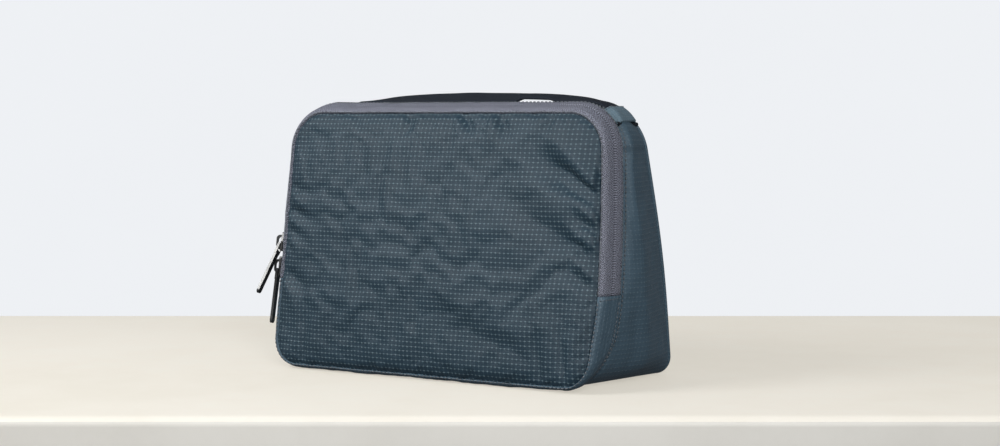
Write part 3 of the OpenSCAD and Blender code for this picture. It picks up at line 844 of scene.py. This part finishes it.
def side_lift(t, s, rows):
    """The side cloth: a facet beside the body seam, widening to the base, then a flatter rear."""
    z, y = rows[..., 2], rows[..., 1]
    tall = np.clip(z / BODY_H, 0, 1)
    ridge_at = 0.52 - 0.46 * tall ** 0.8 + 0.012 * waves(z, 0 * z, 60, SEED + 42)
    ridge_h = 7.6 * (1 - tall) ** 0.6 + 1.4
    rising = t / ridge_at
    falling = (1 - t) / (1 - ridge_at)
    tent = ridge_h * (1 - np.log1p(np.exp(14 * (1 - np.minimum(rising, falling)))) / 14)
    tent = np.maximum(tent, -0.5)
    hollow = -0.9 * np.exp(-((t - ridge_at * 0.62) / 0.045) ** 2) * ease((0.42 - tall) / 0.25)
    small = 0.55 * waves(y, z, 46, SEED + 40) + 0.25 * waves(y, z, 15, SEED + 41)
    small = small + 0.45 * waves(s + 0 * t, 0 * s, 6.5, SEED + 44) * np.exp(-t / 0.09)
    return (tent + hollow + small + 0.6 * np.sin(math.pi * t)) * ease((z - 1) / 14)


def top_lift(t, _, rows):
    """The top cloth sags a little, more where the strap's left end lies on it."""
    x, y = rows[..., 0], rows[..., 1]
    under_strap = np.exp(-((x + 86) / 13) ** 2) * np.exp(-((y - STRAP_Y) / 12) ** 4)
    return -0.5 * np.sin(math.pi * t) + 0.2 * waves(x, y, 40, SEED + 43) - 1.5 * under_strap


# The side cloths wear the outer ripstop painted lighter, as painted sheen.
def side_cloth_painted_lighter(name, stations, node):
    rows, uv = shell_rows(stations, 34, lift=side_lift)
    rows[..., 2] = np.maximum(rows[..., 2], BASE_T)
    obj = face_out(grid_object(name, rows, uv=uv))
    thicken(obj, SIDE_T, levels=1)
    finish_piece(obj, "side_cloth_painted_lighter", "shell", (node,))


def shell_cloths():
    side_cloth_painted_lighter("side_cloth_right", SIDE, "side_panel_right")
    side_cloth_painted_lighter("side_cloth_left", N_LOOP - SIDE, "side_panel_left")
    rows, uv = shell_rows(TOP, 20, lift=top_lift)
    top = face_out(grid_object("top_cloth", rows, uv=uv))
    thicken(top, SIDE_T)
    finish_piece(top, "side_cloth_painted_lighter", "shell", ("top_panel",))
    under = np.arange(-I_FOOT, I_FOOT + 1)
    rows, uv = shell_rows(under, 20, dip=0.0)
    rows[..., 2] = np.maximum(rows[..., 2], 0)
    base = face_out(grid_object("base_cloth", rows, uv=uv))
    thicken(base, BASE_T)
    finish_piece(base, "side_cloth_painted_lighter", "shell", ("base_panel",))


def pipings():
    """Bound seams: where the top meets each side, and round the rear panel."""
    for name, node, mirrored in (("top_seam_right", "top_seam_ridge_right", False),
                                 ("top_seam_left", "top_seam_ridge_left", True)):
        front = band_ring(-0.5, BAND_DEPTH)[I_SEAM]
        back = rear_ring(-0.5)[I_SEAM]
        t = np.linspace(0, 1, 24)[:, None]
        path = front + (back - front) * t
        path = path + OUTWARD[I_SEAM] * (0.25 * np.sin(9 * t) + 0.2)
        if mirrored:
            path = path * [-1, 1, 1]
        obj = tube(name, path, 1.35, sides=12, squash=(1.0, 0.9))
        finish_piece(obj, "binding", "shell", (node,))
    path = rear_ring(0.2, -0.6, 1.2)
    path[:, 2] = np.maximum(path[:, 2], 1.4)
    obj = tube("rear_seam", path, 1.2, sides=10, closed=True)
    finish_piece(obj, "side_cloth_painted_lighter", "shell")


# ---- the strap ----
STRAP_W, STRAP_T = 20.0, 2.0
CROWN = 8.0                      # how far the strap's middle stands above the top
STRAP_Y = (front_y(BODY_H) + BAND_DEPTH + rear_y(BODY_H)) / 2
STRAP_X = (BODY_W / 2 - CORNER_R) * (1 - TAPER)      # where the flat of the top ends
LEFT_RISE = 79.0                 # where the strap leaves the top on the left


def strap_path(reach, sag):
    """The strap's underside on one side: over the corner from the seam, flat on the top as far as
    reach, which sags, then a low arch to x 0."""
    turn = np.radians(np.linspace(SEAM_ANGLE + 2, 88, 16))
    high = BODY_H - CORNER_R
    x = STRAP_X + CORNER_R * np.cos(turn)
    z = high + CORNER_R * np.sin(turn) + 0.35
    along = np.linspace(STRAP_X - 1.5, 0, 44)
    foot = BODY_H + 0.4
    bend = np.cos(math.pi / 2 * np.clip(along / reach, 0, 1)) ** 0.5
    foot = foot - sag * ease(along / reach)
    arch = foot + (BODY_H + CROWN - STRAP_T - foot) * bend
    path = np.stack([np.concatenate([x, along]), np.concatenate([z, arch])], 1)
    soft = path.copy()
    for _ in range(3):
        soft[1:-1] = (soft[:-2] + 2 * soft[1:-1] + soft[2:]) / 4
    return soft


def strap_drop(x, height):
    """How far the strap's front edge hangs below its rear edge, in all, where its underside would
    be at some height. It rests on the top, and stands clear over one short stretch."""
    clear = ease((x - 43) / 5) * (1 - ease((x - 68) / 6))
    return np.clip(height - BODY_H - 0.35, 0, 5.6) * (1 - 0.5 * clear)


def strap_half(name, sign, nodes):
    """One side of the strap, from its sewn end to the middle, where the two sides meet."""
    path = strap_path(STRAP_X, 0.0) if sign > 0 else strap_path(LEFT_RISE, 1.3)
    ahead = np.gradient(path, axis=0)
    ahead /= np.linalg.norm(ahead, axis=1)[:, None]
    up = np.stack([ahead[:, 1], -ahead[:, 0]], 1) * -1
    up *= np.sign(up[-1, 1])
    half = STRAP_W / 2
    turn = np.linspace(-math.pi / 2, math.pi / 2, 5)
    edge = 0.9
    right = [(half - edge + edge * math.cos(a), STRAP_T / 2 + STRAP_T / 2 * math.sin(a)) for a in turn]
    flat = np.linspace(half - 1.4, -half + 1.4, 15)[1:-1]
    section = (right + [(v, STRAP_T) for v in flat] + [(-v, h) for v, h in right[::-1]]
               + [(-v, 0.0) for v in flat])
    section = np.array(section)
    run = arc_length(path)
    curl = 0.35 * waves(run[:, None], section[:, 0][None] * 0.3, 40, SEED + 50)
    lift = section[:, 1][None] + curl * ease((len(path) - np.arange(len(path)))[:, None] / 10 + 0.3) * 0.6
    tilt = strap_drop(sign * path[:, 0], path[:, 1])[:, None] / STRAP_W
    x = path[:, 0][:, None] + up[:, 0][:, None] * lift
    z = path[:, 1][:, None] + up[:, 1][:, None] * lift - (half - section[:, 0][None]) * tilt
    y = STRAP_Y + section[:, 0][None] + 0 * x
    points = np.stack([sign * x, y, z], 2)
    uv = grid_uv(run, arc_length(section))
    obj = face_out(grid_object(name, points, uv=uv, closed_m=True), (sign * 50, STRAP_Y, BODY_H + 2))
    wear(obj, "webbing")
    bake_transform(obj)
    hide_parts(*nodes)


def corner_patch(name, sign):
    """A tab of the top cloth, folded over each end of the strap and stitched down."""
    n, m = 22, 26
    turn = np.radians(np.linspace(SEAM_ANGLE + 1, SEAM_ANGLE + 27, n))
    high = BODY_H - CORNER_R
    half = STRAP_W / 2 + 3.5
    across = np.linspace(-1, 1, m)
    end = np.minimum(np.arange(n), n - 1 - np.arange(n)) / 3.0
    beyond = np.clip((np.abs(across) * half - STRAP_W / 2 + 1.5) / 4, 0, 1)
    lift = 0.6 + (STRAP_T + 0.7) * (1 - beyond ** 1.5)
    small = 0.15 * waves(turn[:, None] * CORNER_R, across[None] * half, 9, SEED)
    lift = lift[None, :] * ease(end[:, None] + 0.55) + small
    r = CORNER_R + lift
    x = STRAP_X + r * np.cos(turn)[:, None]
    z = high + r * np.sin(turn)[:, None]
    y = STRAP_Y + across[None] * half + 0 * x
    obj = face_out(grid_object(name, np.stack([sign * x, y, z], 2)), (sign * 60, STRAP_Y, high))
    thicken(obj, SIDE_T)
    # the patch is painted lighter than the top cloth around it, as painted light on the corner
    finish_piece(obj, "patch_cloth_painted_lighter", "shell")
    row = np.stack([sign * x[-3], y[-3], z[-3] + 0.1], 1)
    out = np.tile([sign * math.cos(turn[-3]), 0.0, math.sin(turn[-3])], (m, 1))
    stitches(name + "_stitches", row, out, pitch=2.2, length=1.5)


def strap():
    corner_patch("corner_patch_right", 1)
    corner_patch("corner_patch_left", -1)
    strap_half("strap_right", 1, ("strap_end_right", "handle_strap"))
    strap_half("strap_left", -1, ("strap_end_left",))


# ---- the inside ----
LINING_Y = 4.6                   # from the front or rear plane to a lining


def flat_lining(name, inset, foot, foot_radius, plane, side, seed):
    """A lining a little behind the foam, beside the front plane (side 1) or the rear one (-1)."""
    flat = coons(loop(half_outline(inset, foot, foot_radius, CORNER_R - inset)), 80, 58)
    x, z = flat[..., 0], flat[..., 1]
    y = plane(z) + side * (LINING_Y + LINING_T) + 0.35 * waves(x, z, 42, seed)
    obj = grid_object(name, np.stack([x, y, z], 2), uv=flat, flip=side < 0)
    return thicken(obj, LINING_T)


def linings():
    inset = FRONT_SEAM + 1.5
    front = flat_lining("front_lining", inset, FRONT_FOOT + 1.5, 16, front_y, 1, SEED + 60)
    finish_piece(front, "lining", "fold", ("front_lining_upper", "front_lining_lower"))
    rear = flat_lining("rear_lining_cloth", REAR_INSET + 2.4, 3.4, REAR_FOOT_R, rear_y, -1, SEED + 61)
    finish_piece(rear, "lining", "shell", ("rear_lining",))
    body_lining()


def body_lining():
    """A ring of lining round the inside, from the body seam to the rear lining."""
    first = lifted(band_ring(2.6, BAND_DEPTH + 1), 1.2)
    last = rear_ring(1.7, LINING_Y, 3.0)
    t = np.linspace(0, 1, 22)
    deep = t * 60
    rows = first[:, None] + (last - first)[:, None] * t[None, :, None]
    run = arc_length(first)
    inner = 0.4 * waves(run[:, None], deep[None], 30, SEED + 62) * np.sin(math.pi * t)[None]
    rows = rows - OUTWARD[:, None, :] * (0.3 + np.abs(inner))[..., None]
    obj = grid_object("body_lining_cloth", rows, uv=grid_uv(run, deep)[..., ::-1], closed_n=True)
    face_out(obj).data.flip_normals()
    thicken(obj, LINING_T)
    finish_piece(obj, "lining", "shell", ("body_lining",))


def net(name, half_w, low, high, plane, depth, pitch=3.0):
    """A pocket of open mesh, as a real net of threads, slightly bellied."""
    n, m = round(2 * half_w / pitch) + 1, round((high - low) / pitch) + 1
    x, z = np.meshgrid(np.linspace(-half_w, half_w, n), np.linspace(low, high, m), indexing="ij")
    belly = np.sin(math.pi * (x + half_w) / (2 * half_w)) * ((z - low) / (high - low))
    sign = 1 if plane is front_y else -1
    y = plane(z) + sign * (depth + 0.9 * belly + 0.15 * waves(x, z, 30, SEED + 70))
    obj = grid_object(name, np.stack([x, y, z], 2))
    wire = obj.modifiers.new("net", "WIREFRAME")
    wire.thickness = 0.55 * MM
    wire.use_replace = True
    return apply_modifiers(obj)


def tape_box(name, x0, x1, z0, z1, plane, depth, thickness=0.9):
    """A flat binding tape against a front or rear plane, with rounded edges."""
    n, m = max(4, round((x1 - x0) / 4)), max(4, round((z1 - z0) / 4))
    x, z = np.meshgrid(np.linspace(x0, x1, n), np.linspace(z0, z1, m), indexing="ij")
    sign = 1 if plane is front_y else -1
    y = plane(z) + sign * (depth + 0.12 * waves(x, z, 12, SEED + 72))
    obj = grid_object(name, np.stack([x, y, z], 2), flip=sign < 0)
    thicken(obj, thickness)
    bevel = obj.modifiers.new("edge", "BEVEL")
    bevel.width = 0.2 * MM
    return apply_modifiers(obj)


LID_POCKET = (92.0, FOLD_Z + 7, FOLD_Z + 78)     # half width, foot and mouth
REAR_POCKET = (96.0, 7.0, 96.0)
NET_DEPTH, TAPE_DEPTH, HEM_DEPTH = 7.2, 7.4, 8.0     # behind a pocket's plane
TAPE_W = 5.0


def pocket(name, size, plane, hem, foot_tape, body, nodes):
    """A pocket of net with tapes at its sides and its mouth, and at its foot if foot_tape."""
    w, low, high = size
    finish_piece(net(name, w, low, high, plane, NET_DEPTH), "mesh", body, nodes[:1])
    foot = low - TAPE_W if foot_tape else low
    strips = [(-w - TAPE_W, -w + 0.4, foot, high), (w - 0.4, w + TAPE_W, foot, high)]
    if foot_tape:
        strips.append((-w, w, foot, low + 0.4))
    tapes = [tape_box("strip", *strip, plane, TAPE_DEPTH) for strip in strips]
    tapes.append(tape_box("hem", -w, w, high - 0.4, high + hem, plane, HEM_DEPTH))
    finish_piece(join(name + "_tape", tapes), "elastic", body, nodes[1:])


def pockets():
    pocket("flap_pocket", LID_POCKET, front_y, 6, True, "fold", ("lid_pocket_mesh", "lid_pocket_binding"))
    pocket("rear_pocket", REAR_POCKET, rear_y, 8, False, "shell",
           ("rear_pocket_mesh", "rear_pocket_elastic"))


def care_label():
    """A satin label sewn to the lining by its upper edge. It is blank."""
    label = tape_box("label_tab", 46, 74, 118, 148, rear_y, LINING_Y + 1.9, 0.25)
    finish_piece(label, "label", "shell", ("care_label",))


def seam_bindings():
    """Folded tapes over the raw seams inside the bag."""
    flap = band_ring(FRONT_SEAM + 4.0, LINING_Y + 1.2)[OVER]
    front = lifted(band_ring(4.0, BAND_DEPTH + 4.5), 1.4)
    rear = rear_ring(2.9, LINING_Y + 3.5, 4.2)
    rows = [("flap_binding", flap, 2.4, (1.0, 0.3), "fold", "lid_seam_binding"),
            ("front_binding", front, 2.5, (0.28, 1.0), "shell", "front_seam_binding"),
            ("rear_binding", rear, 2.5, (0.28, 1.0), "shell", "rear_seam_binding")]
    for name, path, radius, squash, body, node in rows:
        obj = tube(name, path, radius, 10, squash=squash, closed=body == "shell")
        finish_piece(obj, "binding", body, (node,))


# ---- pieces kept from the CAD ----
def dress(node, look, bevel=0.0):
    """Gives a CAD node its material, and rounds its edges where it is metal."""
    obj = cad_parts[node]
    wear(obj, look)
    if bevel:
        edge = obj.modifiers.new("edge", "BEVEL")
        edge.width = bevel * MM
        edge.segments = 2
        edge.limit_method = "ANGLE"
        edge.angle_limit = math.radians(35)


def base_board():
    """The stiff board in the base, cut clear of the rounded corners of the foot."""
    front, rear = front_y(0) + BAND_DEPTH + 4, rear_y(0) - 4
    t = np.linspace(0, 1, 12)[None, :]
    half = 74 + 24 * t
    x = np.linspace(-1, 1, 30)[:, None] * half
    points = np.stack([x, front + (rear - front) * t + 0 * x, 2.6 + 0 * x], 2)
    board = grid_object("board", points)
    thicken(board, 1.2)
    finish_piece(board, "board", "shell", ("base_board",))


def kept_nodes():
    for node in ("upper_slider", "lower_slider", "upper_puller", "lower_puller"):
        dress(node, "gunmetal", 0.28)
    dress("zip_end_stops", "gunmetal", 0.1)
    for node in ("front_foam_upper", "front_foam_lower", "rear_foam"):
        dress(node, "foam")


# ---- light, table and camera ----
def studio_surface(name, low, high, rough, scale, glow=(0, 0, 0), strength=0.0):
    """Stone or paint. A glow keeps it evenly bright."""
    n = Nodes(name)
    where = n.place(True)
    broad = n.noise(scale, 5.0, where)
    veins = n.noise(scale * 6, 6.0, where, 0.7)
    tone = n.plus(n.times(broad, 0.7), n.times(veins, 0.3))
    n.set(Base_Color=n.mix(n.smooth(tone, 0.35, 0.65), low, high), Roughness=rough,
          Emission_Color=glow, Emission_Strength=strength)
    n.bump(veins, 0.0002, 0.15)
    return n.material


def stand_in_view(obj):
    """Turns a stage piece square to the camera, which alone sees it."""
    obj.matrix_world = Matrix.Rotation(math.radians(CAMERA_YAW), 4, "Z")
    obj.visible_diffuse = obj.visible_glossy = False


def table():
    """A pale stone shelf with a rounded front edge, in metres. Its front face doesn't glow."""
    near, far, width, drop = -0.175, 0.312, 1.8, 0.25
    edge_r = 0.006
    profile = [(far, 0.0)]
    for angle in np.linspace(0, math.pi / 2, 7):
        profile.append((near + edge_r - edge_r * math.sin(angle), -edge_r + edge_r * math.cos(angle)))
    profile.append((near, -drop))
    points = np.array([[(x, y, z) for y, z in profile] for x in (-width, width)]) / MM
    obj = grid_object("table_top", points, flip=True)
    obj.data.materials.append(studio_surface("table_stone", (0.33, 0.31, 0.27), (0.39, 0.375, 0.345),
                                             0.45, 3.0, (0.70, 0.66, 0.58), 0.76))
    obj.data.materials.append(studio_surface("table_edge", (0.64, 0.61, 0.55), (0.72, 0.69, 0.63),
                                             0.5, 3.0))
    for face in obj.data.polygons:
        face.material_index = int(abs(face.normal.z) < 0.5)
    stand_in_view(obj)


def wall():
    """A white wall behind the shelf, in metres."""
    away, width, low, high = 1.9, 4.0, -1.5, 3.0
    points = np.array([[(x, away, z) for z in (low, high)] for x in (-width, width)]) / MM
    obj = grid_object("wall", points, flip=True)
    obj.data.materials.append(studio_surface("wall_paint", (0.02, 0.02, 0.02), (0.04, 0.04, 0.04),
                                             0.9, 1.2, (0.855, 0.875, 0.905), 0.98))
    stand_in_view(obj)


def area_light(name, where, target, size, power, colour=(1, 1, 1)):
    lamp = bpy.data.lights.new(name, "AREA")
    lamp.shape = "RECTANGLE"
    lamp.size, lamp.size_y = size
    lamp.energy = power
    lamp.color = colour
    obj = bpy.data.objects.new(name, lamp)
    obj.location = where
    obj.rotation_euler = (Vector(target) - Vector(where)).to_track_quat("-Z", "Y").to_euler()
    add_to_scene(obj)


def room_light():
    """Soft light all round, weaker from behind the bag than from the front and above."""
    world = bpy.data.worlds.new("room")
    world.use_nodes = True
    tree = world.node_tree
    direction = tree.nodes.new("ShaderNodeTexCoord").outputs["Generated"]
    facing = tree.nodes.new("ShaderNodeVectorMath")
    facing.operation = "DOT_PRODUCT"
    facing.inputs[1].default_value = (-0.2, -0.55, 0.8)
    fall = tree.nodes.new("ShaderNodeMapRange")
    set_range(fall, -0.6, 0.9, 0.09, 0.32)
    background = tree.nodes["Background"]
    background.inputs["Color"].default_value = (0.88, 0.93, 1.0, 1)
    tree.links.new(direction, facing.inputs[0])
    tree.links.new(facing.outputs["Value"], fall.inputs["Value"])
    tree.links.new(fall.outputs["Result"], background.inputs["Strength"])
    bpy.context.scene.world = world


def lights():
    room_light()
    area_light("key", (-0.4, -0.7, 0.72), (0, 0, 0.1), (0.4, 0.3), 6.0)
    area_light("front", (-0.95, -1.2, 0.75), (0, 0, 0.1), (0.6, 0.4), 3.0)
    area_light("right", (0.95, -1.15, 0.65), (0, 0, 0.09), (0.4, 0.5), 14.0, (0.98, 0.99, 1.0))


CAMERA_AT = (0.5899, -0.9634, 0.1692)
CAMERA_YAW, CAMERA_DOWN = 30.34, 3.58
LENS = 61.51


def camera():
    lens = bpy.data.cameras.new("camera")
    lens.lens = LENS
    lens.sensor_width = 36.0
    obj = bpy.data.objects.new("camera", lens)
    obj.location = CAMERA_AT
    obj.rotation_euler = (math.radians(90 - CAMERA_DOWN), 0, math.radians(CAMERA_YAW))
    bpy.context.scene.camera = add_to_scene(obj)
    bpy.context.scene.view_settings.view_transform = "Standard"


front_cloth()
rear_cloth()
zip_bands()
zip_coils()
seam_stitches()
shell_cloths()
pipings()
strap()
linings()
pockets()
care_label()
seam_bindings()
base_board()
kept_nodes()
table()
wall()
lights()
camera()
